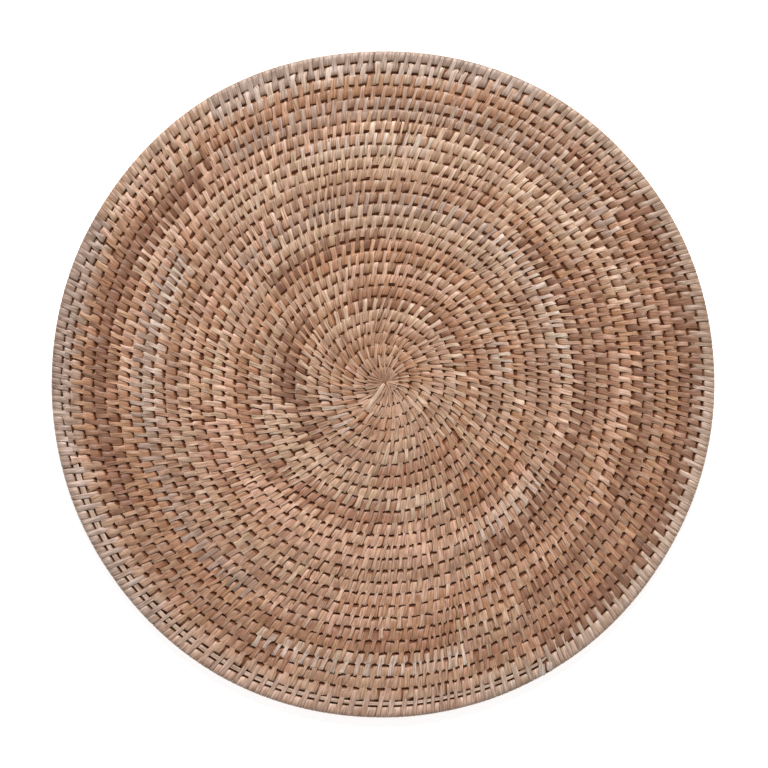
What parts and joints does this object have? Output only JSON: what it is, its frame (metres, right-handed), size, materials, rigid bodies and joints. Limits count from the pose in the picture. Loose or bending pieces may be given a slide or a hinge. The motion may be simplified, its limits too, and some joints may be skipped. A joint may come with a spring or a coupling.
{
  "type": "placemat",
  "caption": "Round flat placemat of coiled rattan: a core wound in a spiral and stitched over with split strips, with a wrapped hoop bound round it as the rim.",
  "frame": {"origin": "centre of the spiral on the underside, on the table", "axes": "+Z up through the mat's upper face; +Y is up in the picture and +X is right"},
  "size_m": [0.3478, 0.3495, 0.007],
  "materials": {
    "rattan": "natural split rattan in mixed tans and browns, unvarnished, satin",
    "rim_rattan": "natural split rattan, paler and greyer, unvarnished, satin"
  },
  "bodies": {
    "root": {"coiled_disc": "rattan", "rim_hoop": "rim_rattan"}
  },
  "joints": []
}
